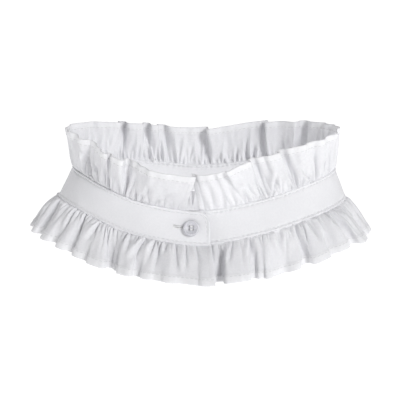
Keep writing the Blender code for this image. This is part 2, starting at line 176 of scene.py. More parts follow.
LOWER_FOLDS = list(starmap(Fold, [
    (-2.8, -4.4, 0.003),
    (-0.4, -1.0, 0.0036),
    (3.6, 1.8, 0.0002),
    (8.2, 6.4, -0.0012),
    (12.0, 11.0, 0.0022),
    (15.5, 15.2, -0.0006),
    (18.6, 19.0, 0.0018),
    (22.4, 22.6, -0.0014),
    (25.6, 25.2, 0.0036),
    (28.6, 27.6, 0.0032),
    (32.6, 30.2, -0.0022),
    (36.2, 33.0, -0.005),
    (38.8, 36.0, 0.0044),
    (41.4, 39.4, 0.004),
    (43.5, 43.0, 0.0012),
    (46.5, 47.0, 0.0028),
    (50.0, 51.0, -0.0012),
    (54.5, 55.5, 0.0026),
    (58.5, 60.0, -0.0022),
    (65.0, 66.0, 0.0032),
    (71.5, 72.0, -0.0026),
    (78.5, 78.5, 0.0026),
    (85.0, 84.5, -0.0024),
    (92.0, 91.0, 0.0034),
    (99.0, 98.5, -0.003),
    (106.5, 106.0, 0.0032),
    (113.5, 114.0, -0.0018),
    (120.0, 121.0, 0.0028),
    (126.0, 127.0, -0.0036),
    (130.0, 131.0, 0.0042),
    (137.5, 138.5, -0.0006),
    (144.0, 144.5, 0.0022),
    (150.5, 150.0, -0.003),
    (155.0, 154.0, 0.0036),
    (162.0, 161.0, -0.0008),
    (168.5, 168.0, 0.002),
    (174.0, 174.0, -0.0038),
    (178.0, 178.4, 0.0044),
    (185.0, 185.6, 0.0004),
    (191.5, 192.0, -0.0022),
    (197.5, 197.5, 0.003),
    (204.0, 203.5, -0.003),
    (208.6, 208.0, 0.004),
    (216.0, 215.5, -0.0006),
    (223.0, 223.0, 0.0022),
    (230.0, 230.0, -0.0028),
    (236.5, 236.5, 0.003),
    (243.5, 243.5, -0.002),
    (251.0, 250.5, -0.0004),
    (258.0, 257.5, 0.0032),
    (265.0, 265.0, -0.0016),
    (272.0, 271.5, 0.0034),
    (279.0, 278.0, 0.0008),
    (286.4, 284.6, -0.004),
    (293.4, 289.6, 0.003),
    (297.4, 293.4, 0.0046),
    (300.0, 296.4, -0.0032),
    (305.0, 303.0, 0.0014),
    (309.5, 308.5, -0.0012),
    (314.0, 312.6, 0.0026),
    (318.2, 316.6, 0.0034),
    (320.8, 319.4, -0.0034),
    (325.0, 324.8, 0.0018),
    (329.0, 329.4, -0.0006),
    (333.4, 333.6, 0.0004),
    (335.8, 336.2, 0.004),
    (338.4, 338.8, 0.0004),
    (341.0, 341.6, -0.0042),
    (344.6, 345.0, 0.0018),
    (347.6, 348.2, 0.0032),
    (350.6, 351.2, 0.0036),
    (353.2, 353.8, -0.0072),
    (356.4, 357.0, -0.0036),
    (359.2, 359.4, -0.0026),
    (362.6, 362.6, -0.0022),
]))

# The cloth and its folded hems
CLOTH_WALL = 0.00042
CLOTH_EDGE_RADIUS = 0.0005
UNDER_BAND = 0.0016
HEM_WIDTH = 0.0042
SIDE_HEM_WIDTH = 0.0026
HEM_WALL = 0.00085
HEM_STEP = 0.0003
HEM_FROM_SEAM = 0.002
HEM_STITCH_INSET = 0.0007

# The folds: how far a flank leans over, how one grows from the seam, and how level it pushes at the hem
FLANK_LEAN = 0.95
STEEPEST = 1.45
FOLD_GROWTH = 0.80
LEVEL_PUSH = 0.8

# Rows in shares of the cloth's width, HEM_RISES counted from the hem's fold, and the columns at each end in
# shares of the side hem
COLUMNS = 1380
SEAM_RISES = [0.0, 0.012, 0.027, 0.044, 0.064, 0.088, 0.115, 0.145, 0.18]
MIDDLE_RISES = [0.22, 0.265, 0.315, 0.37, 0.43, 0.49, 0.55, 0.61, 0.665, 0.715, 0.755, 0.79]
HEM_RISES = [-0.008, 0.004, 0.024, 0.045, 0.075]
EDGE_RISES = [0.945, 0.97, 0.988, 0.997, 1.0]
END_COLUMNS = [0.0, 0.03, 0.1, 0.3, 0.6, 0.85, 0.96, 1.04]

# The small gathers between the folds: sharp valleys of several lengths, cut into a swelling along the seam
GATHERS = 158
GATHER_DEPTH = (0.0014, 0.0029)
GATHER_REACHES = [(0.12, 0.22), (0.2, 0.38), (0.38, 0.62), (0.12, 0.3), (0.14, 0.26), (0.55, 0.85)]
GATHER_WIDTH = (0.0006, 0.0012)
GATHER_JITTER = 0.33
GATHER_SKEW = 1.6
GATHER_BOW = 1.2
GATHER_SPREAD = 2.6
GATHER_SHARPNESS = 1.35
PUFF_HEIGHT = 0.0016
PUFF_REACH = 0.42
SEAM_SHARE = 0.2
SEAM_EASE = 0.06

# The gathers' share of their depth at the closure, and the turns between which they grow to all of it
CLOSURE_SHARE = 0.45
LEFT_OF_CLOSURE = (7.0, 19.0)
RIGHT_OF_CLOSURE = (352.0, 334.0)

# The cloth's slow unevenness: the number of waves along the strip, how they slant, and their height
Ripple = namedtuple("Ripple", "waves slant height")
RIPPLES = [
    Ripple(23, 3.3, 0.0003),
    Ripple(41, -6.9, 0.00022),
    Ripple(67, 5.1, 0.00013),
    Ripple(109, -2.4, 0.00007),
]
RIPPLE_REACH = 0.5

# A listed crease: turn and rise at each end, how deep it is, and how wide where it is not as most are
Crease = namedtuple("Crease", "turn rise far_turn far_rise depth width", defaults=[0.0011])
UPPER_CREASES = list(starmap(Crease, [
    (31.0, 0.05, 24.0, 0.8, 0.0012),
    (25.5, 0.03, 17.0, 0.7, 0.001, 0.0012),
    (19.0, 0.05, 9.0, 0.55, 0.0007),
    (39.0, 0.02, 36.5, 0.55, 0.001, 0.0009),
    (47.0, 0.03, 50.0, 0.6, 0.001),
    (52.0, 0.05, 60.0, 0.85, 0.0013, 0.0012),
    (59.0, 0.05, 55.0, 0.75, 0.001, 0.0012),
    (355.4, 0.02, 357.5, 0.75, 0.0006, 0.0015),
    (351.0, 0.03, 353.0, 0.75, 0.0007, 0.0016),
    (346.5, 0.02, 351.5, 0.7, 0.0006, 0.0015),
    (342.4, 0.02, 345.0, 0.5, 0.0008, 0.0013),
    (337.5, 0.02, 343.5, 0.52, 0.0014),
    (343.5, 0.52, 349.0, 0.62, 0.0012),
    (330.3, 0.02, 328.5, 0.6, 0.0014),
    (326.0, 0.02, 327.0, 0.4, 0.0012, 0.001),
    (319.9, 0.04, 323.0, 0.5, 0.0014),
    (310.0, 0.02, 318.5, 0.56, 0.0016, 0.0012),
    (315.0, 0.02, 316.5, 0.3, 0.0011, 0.0009),
    (306.0, 0.03, 308.0, 0.75, 0.0014, 0.0012),
    (300.8, 0.04, 298.5, 0.85, 0.0015, 0.0012),
    (293.0, 0.02, 295.0, 0.5, 0.0011),
    (284.0, 0.02, 281.0, 0.65, 0.001),
    (262.0, 0.02, 259.0, 0.7, 0.0009),
    (240.0, 0.02, 243.0, 0.6, 0.0009),
    (220.0, 0.02, 217.0, 0.6, 0.001),
    (202.7, 0.02, 201.5, 0.35, 0.0011, 0.0009),
    (199.0, 0.02, 198.6, 0.62, 0.0013),
    (194.6, 0.02, 194.6, 0.45, 0.0011, 0.001),
    (191.5, 0.02, 188.0, 0.4, 0.0012, 0.001),
    (180.0, 0.02, 181.0, 0.68, 0.0013),
    (174.0, 0.02, 174.0, 0.5, 0.001, 0.001),
    (164.0, 0.02, 161.5, 0.78, 0.0015),
    (158.0, 0.02, 154.0, 0.62, 0.0013),
    (149.0, 0.02, 148.0, 0.45, 0.001, 0.001),
    (133.0, 0.02, 131.0, 0.6, 0.0009),
    (113.0, 0.02, 116.0, 0.6, 0.0009),
    (98.0, 0.02, 101.0, 0.7, 0.0009),
    (78.0, 0.02, 76.0, 0.6, 0.0009),
]))
LOWER_CREASES = list(starmap(Crease, [
    (348.4, 0.0, 351.0, 0.62, 0.0014, 0.001),
    (341.9, 0.0, 341.4, 0.4, 0.0013, 0.001),
    (331.5, 0.0, 329.0, 0.55, 0.0013),
    (325.9, 0.0, 325.6, 0.32, 0.0015, 0.001),
    (321.9, 0.0, 319.0, 0.88, 0.0019),
    (316.7, 0.0, 313.2, 0.52, 0.0016),
    (310.8, 0.0, 308.0, 0.42, 0.0015),
    (304.6, 0.0, 303.0, 0.36, 0.0014, 0.001),
    (298.0, 0.0, 294.0, 0.85, 0.0014),
    (287.5, 0.0, 287.5, 0.68, 0.0014),
    (28.0, 0.0, 27.0, 0.5, 0.0013, 0.001),
    (21.7, 0.0, 25.2, 0.68, 0.0017),
    (17.8, 0.0, 19.2, 0.48, 0.0014, 0.001),
    (14.0, 0.0, 13.0, 0.34, 0.0012, 0.0009),
    (10.2, 0.0, 8.3, 0.8, 0.0015),
    (6.2, 0.0, 5.4, 0.7, 0.0013, 0.001),
    (2.4, 0.0, 0.6, 0.55, 0.001, 0.001),
    (42.0, 0.0, 44.5, 0.62, 0.0013),
    (51.4, 0.0, 49.8, 0.64, 0.0015, 0.0012),
    (57.5, 0.0, 57.3, 0.66, 0.0015, 0.0012),
    (66.0, 0.0, 68.5, 0.6, 0.0012),
    (80.0, 0.0, 78.0, 0.7, 0.0012),
    (95.0, 0.0, 98.0, 0.7, 0.0011),
    (109.0, 0.0, 107.0, 0.5, 0.0011),
    (124.0, 0.0, 121.0, 0.65, 0.0011),
    (147.0, 0.0, 149.0, 0.75, 0.0011),
    (171.0, 0.0, 168.5, 0.6, 0.0011, 0.001),
    (194.0, 0.0, 196.5, 0.72, 0.0011),
    (219.0, 0.0, 216.0, 0.62, 0.0011),
    (246.0, 0.0, 249.0, 0.7, 0.0011),
    (268.0, 0.0, 264.5, 0.66, 0.0011),
    (276.0, 0.0, 278.5, 0.5, 0.0011),
]))

# How a crease starts and ends, in shares of its length, and its ridge, in shares of its depth and width
CREASE_START = (-0.12, 0.08)
CREASE_END = (1.12, 0.57)
RIDGE_SHARE = 0.7
RIDGE_OFFSET = 1.9
RIDGE_SPREAD = 1.5

# Sewing
STITCH_LENGTH = 0.0019
STITCH_GAP = 0.0007
STITCH_RADIUS = 0.00016
EDGE_STITCH_INSET = 0.0019
STITCHES_END = 3.0

# A raised or sunken line along an edge: its height, how far in it runs, and its width
Line = namedtuple("Line", "height inset width")
HEM_GROOVE = Line(-0.00015, HEM_WIDTH - HEM_STITCH_INSET, 0.00025)
BAND_RIDGE = Line(0.00020, 0.00085, 0.00050)
BAND_GROOVE = Line(-0.00028, EDGE_STITCH_INSET, 0.00040)

# The band's face, with puckers that are faint where it is pressed crisp
BAND_EDGE_RADIUS = 0.0009
CRISP_TURNS = (165.0, 105.0)
CRISPNESS = 0.8
PUCKER_HEIGHT = 0.00026
PUCKER_REACH = 0.0026
PUCKER_PITCH = 2.17
SECOND_PITCH = 3.31
BAND_COLUMNS = 700
BAND_CORNER_COLUMNS = 15
BAND_ROWS_MM = [0.0, 0.08, 0.22, 0.42, 0.66, 0.95, 1.25, 1.55, 1.85, 2.15, 2.6, 3.3, 4.2, 5.4, 6.8, 8.2]

# The button's holes and thread: a bar's half arch is in shares of half the hole spacing and of its rise
HOLE_SPACING = 0.0018
HOLE_RADIUS = 0.00055
HOLE_PLACES = [(0.5 * side * HOLE_SPACING, 0.5 * up * HOLE_SPACING) for side in (-1, 1) for up in (-1, 1)]
CUTTER_LENGTH = 0.008
DISH_DEPTH = 0.00088
STRAND_RADIUS = 0.00016
STRAND_SPACING = 0.00022
BAR_RISE = 0.00075
BAR_HALF_ARCH = [(-1.0, -1.2), (-0.97, -0.3), (-0.8, 0.16), (-0.35, 0.30)]
SHANK_RADIUS = 0.0009
SHANK_ROUNDS = 5.0
SHANK_STEPS = 60

# The buttonhole: its start beside the button's middle, its whipped stitches, and the bar at each end
BUTTONHOLE_START = -0.0014
BUTTONHOLE_LENGTH = 0.0112
SLIT_HALF = 0.00012
SLIT_ROWS = [(-0.00013, 0.00001), (0.0, 0.00003), (0.00013, 0.00001)]
SLIT_PLACES = 25
WHIP_PITCH = 0.00027
WHIP_REACH = 0.00075
WHIP_SLANT = 0.00006
WHIP_RADIUS = 0.000135
END_BAR_OUT = 0.0002
END_BAR_SPACING = 0.00024
END_BAR_UPS = [-0.0010, -0.0009, -0.0004, 0.0004, 0.0009, 0.0010]
END_BAR_LIFTS = [-0.0001, 0.00014, 0.00024, 0.00024, 0.00014, -0.0001]

# Surfaces
WEAVE_PERIOD = 0.0004
WEAVE_RELIEF = 0.5
COTTON_WHITE = (0.785, 0.785, 0.805, 1.0)
COTTON_SHADE = (0.735, 0.735, 0.758, 1.0)
PRESSED_SHADE = (0.755, 0.755, 0.778, 1.0)
HEM_WHITE = (0.90, 0.90, 0.91, 1.0)
THREAD_WHITE = (0.84, 0.84, 0.85, 1.0)
# The topstitching and hem thread is white; this grey is painted shade for the shadows round its stitches
STITCH_PAINTED_SHADE = (0.68, 0.68, 0.70, 1.0)
# The buttonhole's slit is a grey strip laid on the band: painted shade for the shadow in the cut
SLIT_SHADE_GREY = (0.84, 0.84, 0.86, 1.0)
PEARL_SHADE = (0.54, 0.54, 0.58, 1.0)
PEARL_WHITE = (0.65, 0.65, 0.68, 1.0)
FLOOR_WHITE = (0.97, 0.97, 0.97, 1.0)
PURE_WHITE = (1.0, 1.0, 1.0, 1.0)

# The floor, and a sky that is bright at the horizon and dim above it
FLOOR_HEIGHT = -0.45
FLOOR_REACH = 30.0
FLOOR_GLOW = 0.44
SKY_STRENGTH = 0.14
HORIZON_STRENGTH = 1.0
HORIZON_TOP = 0.10
SKY_FROM = 0.26

# The lamps
Lamp = namedtuple("Lamp", "name comes_from strength")
LAMPS = [
    Lamp("right_soft_light", (0.55, -0.70, 0.45), 1.45),
    Lamp("left_soft_light", (-0.94, -0.27, 0.21), 0.44),
    Lamp("back_soft_light", (-0.35, 0.80, 0.48), 0.62),
]
LAMP_ANGLE = 16.0

# The camera
CAMERA_ELEVATION = 12.0
CAMERA_LENS = 110.0
CAMERA_DISTANCE = 0.733
CAMERA_AIM = (-0.0012, 0.0, 0.0)


def smooth(share):
    share = np.clip(share, 0.0, 1.0)
    return share * share * (3.0 - 2.0 * share)


def grows(value, start, full):
    """0 at the start, 1 when full, and smooth between."""
    return smooth((value - start) / (full - start))


def bell(off, width):
    """1 in the middle, fading away to both sides."""
    return np.exp(-((off / width) ** 2))


def raised(line, inset):
    """The line's height, that far in from the edge."""
    return line.height * bell(inset - line.inset, line.width)


def rounded(border, radius, least):
    """A rounded edge's share of the full thickness, that far in from it; least is its smallest square."""
    share = np.clip(border / radius, 0.0, 1.0)
    return np.sqrt(np.clip(1.0 - (1.0 - share) ** 2, least, 1.0))


def unit(vectors):
    return vectors / np.maximum(np.linalg.norm(vectors, axis=-1, keepdims=True), 1e-12)


def upright(heights):
    """Vectors along Z of these heights."""
    heights = np.asarray(heights, float)
    return np.stack([np.zeros_like(heights), np.zeros_like(heights), heights], axis=-1)


def section(turn, column):
    """A column of SECTIONS at any turns, on a smooth curve through the rows that closes round the neck."""
    turns = np.array([row.turn for row in SECTIONS], float)
    values = np.array([getattr(row, column) for row in SECTIONS], float)
    count = len(turns)
    turn = np.mod(turn, 360.0)
    here = np.searchsorted(turns, turn, side="right") - 1

    def knot(step):
        index = here + step
        return turns[index % count] + 360.0 * (index // count), values[index % count]

    (t0, p0), (t1, p1), (t2, p2), (t3, p3) = (knot(step) for step in (-1, 0, 1, 2))
    span = t2 - t1
    share = (turn - t1) / span
    slope_in = (p2 - p0) / (t2 - t0) * span
    slope_out = (p3 - p1) / (t3 - t1) * span
    square = share**2
    cube = share**3
    return (
        (2 * cube - 3 * square + 1) * p1
        + (cube - 2 * square + share) * slope_in
        + (3 * square - 2 * cube) * p2
        + (cube - square) * slope_out
    )


def half_depth(turn):
    return np.where(np.cos(np.radians(turn)) > 0, FRONT_DEPTH, BACK_DEPTH)


def outward(turn):
    """The level direction straight out of the neck opening's oval."""
    angle = np.radians(turn)
    x = -np.sin(angle) * half_depth(turn)
    y = -np.cos(angle) * HALF_WIDTH
    return unit(np.stack([x, y, np.zeros_like(angle)], axis=-1))


def layer(turn):
    """How far the strip is moved out at its start, or in at its end, so that the start lies over the end."""
    return 0.5 * LAYER_STEP * (smooth(1.0 - turn / LAYER_TURN) - smooth(1.0 - (360.0 - turn) / LAYER_TURN))


def lower_seam(turn):
    turn = np.asarray(turn, float)
    angle = np.radians(turn)
    x = -np.sin(angle) * HALF_WIDTH
    y = -np.cos(angle) * half_depth(turn)
    return np.stack([x, y, section(turn, "height")], axis=-1) + outward(turn) * layer(turn)[..., None]


def up_the_band(turn):
    lean = np.radians(section(turn, "lean"))
    return upright(np.cos(lean)) - outward(turn) * np.sin(lean)[..., None]


def band_face(turn):
    lean = np.radians(section(turn, "lean"))
    return outward(turn) * np.cos(lean)[..., None] + upright(np.sin(lean))


def band_point(turn, height):
    """A point of the band's middle surface, that far up from its lower edge."""
    turn = np.asarray(turn, float)
    return lower_seam(turn) + up_the_band(turn) * np.broadcast_to(height, turn.shape)[..., None]


def arc_per_degree(turn):
    turn = np.asarray(turn, float)
    return np.linalg.norm(lower_seam(turn + 0.5) - lower_seam(turn - 0.5), axis=-1)


def add_object(name, data):
    obj = bpy.data.objects.new(name, data)
    bpy.context.scene.collection.objects.link(obj)
    return obj


def sewn_mesh(name, points, faces, uvs, material):
    """An object from points, faces and, for woven cloth, one cloth position in metres for each point."""
    mesh = bpy.data.meshes.new(name)
    mesh.from_pydata(points.tolist(), [], faces)
    if uvs is not None:
        corners = np.zeros(len(mesh.loops), np.int32)
        mesh.loops.foreach_get("vertex_index", corners)
        cloth = mesh.uv_layers.new(name="cloth")
        cloth.data.foreach_set("uv", uvs[corners].astype(np.float32).ravel())
    mesh.shade_smooth()
    mesh.materials.append(material)
    obj = add_object(name, mesh)
    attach(obj, "root")
    return obj


def grid_normals(grid):
    """Directions out of a grid of points, columns by rows."""
    along = np.gradient(grid, axis=0)
    across = np.gradient(grid, axis=1)
    return unit(np.cross(along, across))


def shell(name, grid, normals, half, cloth, material):
    """A closed shell round a grid of middle points, with its own half thickness at each point."""
    columns, rows = grid.shape[:2]
    outer = (grid + normals * half[..., None]).reshape(-1, 3)
    inner = (grid - normals * half[..., None]).reshape(-1, 3)
    index = np.arange(columns * rows).reshape(columns, rows)
    corners = [index[:-1, :-1], index[1:, :-1], index[1:, 1:], index[:-1, 1:]]
    skin = np.stack(corners, axis=-1).reshape(-1, 4)
    winds_outwards = (grid_normals(grid) * normals).sum() > 0
    shift = columns * rows
    edge = np.concatenate([index[:, 0], index[-1, 1:], index[-2::-1, -1], index[0, -2:0:-1]])
    after = np.roll(edge, -1)
    rim = np.stack([edge, edge + shift, after + shift, after], axis=-1)
    faces = np.concatenate([skin, skin[:, ::-1] + shift, rim])
    if not winds_outwards:
        faces = faces[:, ::-1]
    uvs = np.concatenate([cloth.reshape(-1, 2)] * 2)
    return sewn_mesh(name, np.concatenate([outer, inner]), faces.tolist(), uvs, material)


class Ruffle:
    """A gathered strip sewn to one edge of the band."""

    def __init__(self, name, folds, creases, width, upward, seed):
        self.name = name
        self.creases = creases
        self.width = width
        self.upward = upward
        self.sign = 1.0 if upward else -1.0
        self.random = random.Random(seed)
        self.hems = np.array([fold.hem for fold in folds], float)
        self.roots = np.array([fold.root for fold in folds], float)
        self.outs = np.array([fold.out for fold in folds], float)
        middles = 0.5 * (self.hems[1:] + self.hems[:-1])
        self.alongs = np.diff(self.hems) * arc_per_degree(middles)
        steps = np.hypot(self.alongs, np.diff(self.outs))
        self.cut_length = float(steps.sum())
        self.marks = np.concatenate([[0.0], np.cumsum(steps)]) / self.cut_length
        self.rises = self.row_rises()
        self.shares = self.column_shares()
        self.gathers = self.gather_heights()
        self.grid, self.turns = self.middle_surface()
        self.normals = -self.sign * grid_normals(self.grid)
        self.half = self.half_thickness()

    def row_rises(self):
        """Rows from under the band to the hem, closer together at the seam and at the hem's fold."""
        fold = 1.0 - HEM_WIDTH / self.width
        under = [-UNDER_BAND / self.width, -0.5 * UNDER_BAND / self.width]
        return np.array(under + SEAM_RISES + MIDDLE_RISES + [fold + step for step in HEM_RISES] + EDGE_RISES)

    def column_shares(self):
        """Columns along the strip, with a few more at the hemmed ends."""
        ends = np.array(END_COLUMNS) * SIDE_HEM_WIDTH / self.cut_length
        middle = np.linspace(ends[-1], 1.0 - ends[-1], COLUMNS + 1)[1:-1]
        return np.concatenate([ends, middle, 1.0 - ends[::-1]])

    def gather_heights(self):
        """Narrow valleys that start at the seam and fan out between rounded puffs."""
        rises = np.maximum(self.rises[None, :], 0.0)
        heights = np.zeros((len(self.shares), len(self.rises)))
        chance = self.random
        for number in range(GATHERS):
            place = (number + 0.5 + chance.uniform(-GATHER_JITTER, GATHER_JITTER)) / GATHERS
            depth = chance.uniform(*GATHER_DEPTH)
            reach = chance.uniform(*chance.choice(GATHER_REACHES))
            width = chance.uniform(*GATHER_WIDTH) / self.cut_length
            skew = chance.uniform(-GATHER_SKEW, GATHER_SKEW) / GATHERS
            bow = chance.uniform(-GATHER_BOW, GATHER_BOW) / GATHERS
            near = np.abs(self.shares - place) < 8.0 / GATHERS
            line = place + skew * rises + bow * rises**2
            off = np.abs(self.shares[near][:, None] - line) / (width * (1.0 + GATHER_SPREAD * rises))
            valley = np.exp(-(off**GATHER_SHARPNESS)) * bell(rises, reach)
            heights[near] -= depth * valley * (1.0 + 0.5 * rises)
        heights += PUFF_HEIGHT * bell(rises, PUFF_REACH)
        return heights * (SEAM_SHARE + (1.0 - SEAM_SHARE) * smooth(rises / SEAM_EASE))

    def ripples(self):
        """A slow unevenness of the cloth, so that no panel is perfectly smooth."""
        shares = self.shares[:, None]
        rises = np.maximum(self.rises[None, :], 0.0)
        total = np.zeros((len(self.shares), len(self.rises)))
        for ripple in RIPPLES:
            phase = self.random.uniform(0.0, math.tau)
            wave = np.sin(math.tau * ripple.waves * shares + ripple.slant * rises + phase)
            total += ripple.height * wave * smooth(rises / RIPPLE_REACH)
        return total

    def crease_heights(self, turns):
        """The listed creases: a valley with a ridge along one side of it."""
        total = np.zeros_like(turns)
        scale = arc_per_degree(180.0)
        rises = np.broadcast_to(self.rises[None, :], turns.shape)
        for crease in self.creases:
            x = (turns - crease.turn) * scale
            y = (rises - crease.rise) * self.width
            run_x = (crease.far_turn - crease.turn) * scale
            run_y = (crease.far_rise - crease.rise) * self.width
            length = math.hypot(run_x, run_y)
            share = (x * run_x + y * run_y) / length**2
            beside = (x * run_y - y * run_x) / length
            fade = grows(share, *CREASE_START) * grows(share, *CREASE_END)
            width = crease.width * (0.6 + 0.8 * np.clip(share, 0.0, 1.0))
            ridge = RIDGE_SHARE * bell(beside - RIDGE_OFFSET * width, RIDGE_SPREAD * width)
            total += crease.depth * fade * (ridge - bell(beside, width))
        return total

    def middle_surface(self):
        """The cloth's middle surface, columns by rows, and the turn round the neck of each of its points."""
        here = np.clip(np.searchsorted(self.marks, self.shares, side="right") - 1, 0, len(self.hems) - 2)
        part = ((self.shares - self.marks[here]) / (self.marks[here + 1] - self.marks[here]))[:, None]
        above = np.maximum(self.rises, 0.0)[None, :]
        near_turn = self.roots[here][:, None] + (self.hems - self.roots)[here][:, None] * above
        far_turn = self.roots[here + 1][:, None] + (self.hems - self.roots)[here + 1][:, None] * above
        change = (self.outs[here + 1] - self.outs[here])[:, None]
        lean = np.minimum(STEEPEST, FLANK_LEAN * np.abs(change) / self.alongs[here][:, None]) * smooth(above)
        turns = near_turn + (far_turn - near_turn) * (part + lean * np.sin(math.tau * part) / math.tau)
        ease = 0.5 - 0.5 * np.cos(math.pi * part)
        out = (self.outs[here][:, None] + change * ease) * above**FOLD_GROWTH
        lively = grows(turns, *LEFT_OF_CLOSURE) * grows(turns, *RIGHT_OF_CLOSURE)
        out = out + (self.gathers + self.ripples()) * (CLOSURE_SHARE + (1.0 - CLOSURE_SHARE) * lively)
        out = out + self.crease_heights(turns)
        flare = np.radians(section(turns, "rise" if self.upward else "fall"))
        flare = flare * (FLARE_AT_SEAM - FLARE_FADE * above)
        away = outward(turns)
        along_cloth = upright(self.sign * np.cos(flare)) + away * np.sin(flare)[..., None]
        face = away * np.cos(flare)[..., None] - upright(self.sign * np.sin(flare))
        turnover = smooth(above / SEAM_TURNOVER)[..., None]
        face = unit(band_face(turns) * (1.0 - turnover) + face * turnover)
        edge = BAND_WIDTH if self.upward else 0.0
        run = np.broadcast_to(above * self.width, turns.shape)[..., None]
        under = np.broadcast_to(np.minimum(self.rises, 0.0)[None, :] * self.width, turns.shape)[..., None]
        seam = band_point(turns, edge) + up_the_band(turns) * self.sign * under
        level = (LEVEL_PUSH * smooth(above))[..., None]
        push = unit(face * (1.0 - level) + away * level)
        return seam + along_cloth * run + push * out[..., None], turns

    def half_thickness(self):
        """The cloth's half thickness, with the folded hems along the free edge and both ends."""
        length = self.shares * self.cut_length
        from_end = np.minimum(length, self.cut_length - length)[:, None]
        from_edge = ((1.0 - self.rises) * self.width)[None, :]
        edge_hem = smooth((HEM_WIDTH - from_edge) / HEM_STEP + 1.0)
        end_hem = smooth((SIDE_HEM_WIDTH - from_end) / HEM_STEP)
        hemmed = np.maximum(edge_hem, end_hem) * smooth((self.rises[None, :] * self.width) / HEM_FROM_SEAM)
        half = 0.5 * (CLOTH_WALL + (HEM_WALL - CLOTH_WALL) * hemmed)
        half = half + raised(HEM_GROOVE, from_edge) * hemmed
        return half * rounded(np.minimum(from_edge, from_end), CLOTH_EDGE_RADIUS, 0.12)

    def build(self, material):
        v = np.broadcast_to((self.rises * self.width)[None, :], self.turns.shape)
        u = np.broadcast_to((self.shares * self.cut_length)[:, None], self.turns.shape)
        return shell(self.name, self.grid, self.normals, self.half, np.stack([u, v], axis=-1), material)

    def flat_length(self):
        """The length that the strip was cut to: the measured way along its middle."""
        row = len(self.rises) // 2
        return float(np.linalg.norm(np.diff(self.grid[:, row], axis=0), axis=1).sum())

    def line_at(self, rise, side):
        """A line along the cloth at that rise, on its outer face for side 1 and on its inner one for -1."""
        row = int(np.argmin(np.abs(self.rises - rise)))
        normals = self.normals[:, row] * side
        return self.grid[:, row] + normals * self.half[:, row, None], normals


def ring(start, sides):
    """The numbers of a ring's corners."""
    return list(range(start, start + sides))


def thread(name, runs, material):
    """Stitches as one mesh. Each run is a line of points and the directions out of the cloth there."""
    sides = 6
    stations = np.array([0.0, 0.14, 0.5, 0.86, 1.0])
    swell = np.array([0.45, 0.9, 1.0, 0.9, 0.45])
    lift = np.array([-0.9, 0.25, 0.7, 0.25, -0.9])
    angles = np.arange(sides) * math.tau / sides
    pitch = STITCH_LENGTH + STITCH_GAP
    last = (len(stations) - 1) * sides
    points = []
    faces = []
    for line, normals in runs:
        steps = np.linalg.norm(np.diff(line, axis=0), axis=1)
        length = np.concatenate([[0.0], np.cumsum(steps)])
        count = int(length[-1] / pitch)
        starts = np.arange(count) * pitch + 0.5 * STITCH_GAP
        places = starts[:, None] + stations[None, :] * STITCH_LENGTH
        centre = np.stack([np.interp(places, length, line[:, axis]) for axis in range(3)], axis=-1)
        up = unit(np.stack([np.interp(places, length, normals[:, axis]) for axis in range(3)], axis=-1))
        ahead = unit(centre[:, -1] - centre[:, 0])[:, None, :]
        side = unit(np.cross(ahead, up))
        centre = centre + up * (lift * STITCH_RADIUS)[None, :, None]
        radius = (swell * STITCH_RADIUS)[None, :, None, None]
        rings = (
            centre[:, :, None, :]
            + side[:, :, None, :] * np.cos(angles)[None, None, :, None] * radius
            + up[:, :, None, :] * np.sin(angles)[None, None, :, None] * radius
        )
        base = sum(len(block) for block in points)
        points.append(rings.reshape(-1, 3))
        first = base + np.arange(count)[:, None, None] * len(stations) * sides
        station = first + np.arange(len(stations) - 1)[None, :, None] * sides
        around = np.arange(sides)[None, None, :]
        beside = (around + 1) % sides
        corners = [station + around, station + beside, station + sides + beside, station + sides + around]
        faces.extend(np.stack(corners, axis=-1).reshape(-1, 4).tolist())
        for start in first.ravel().tolist():
            faces.append(ring(start, sides)[::-1])
            faces.append(ring(start + last, sides))
    return sewn_mesh(name, np.concatenate(points), faces, None, material)


def band_top(turn):
    """The band's width at a turn: full, but for the rounded upper corner at each end."""
    turn = np.asarray(turn, float)
    from_end = np.minimum(turn - BAND_START, BAND_END - turn) * arc_per_degree(turn)
    missing = 1.0 - np.clip(from_end / END_CORNER_WIDTH, 0.0, 1.0)
    return BAND_WIDTH - END_CORNER_HEIGHT * (1.0 - np.sqrt(np.maximum(0.0, 1.0 - missing**2)))


def band_half(turn, height):
    """The band's half thickness, with all the relief of its face."""
    turn, height = np.broadcast_arrays(np.asarray(turn, float), height)
    from_end = np.minimum(turn - BAND_START, BAND_END - turn) * arc_per_degree(turn)
    from_edge = np.minimum(height, band_top(turn) - height)
    from_lap = np.minimum(from_edge, (turn - BAND_START) * arc_per_degree(turn))
    wave = np.sin(math.tau * turn / PUCKER_PITCH + 1.3 * np.sin(turn / 3.1))
    wave = wave + 0.7 * np.sin(math.tau * turn / SECOND_PITCH + 2.0)
    soft = 1.0 - CRISPNESS * grows(turn, *CRISP_TURNS)
    pucker = PUCKER_HEIGHT * wave * bell(from_edge, PUCKER_REACH) * soft
    slow = 0.00009 * np.sin(turn / 4.3 + 260.0 * height) + 0.00007 * np.sin(turn / 2.1 - 420.0 * height + 1.0)
    body = 0.5 * BAND_WALL + raised(BAND_RIDGE, from_lap) + raised(BAND_GROOVE, from_lap) + pucker + slow
    return body * rounded(np.minimum(from_edge, from_end), BAND_EDGE_RADIUS, 0.02)


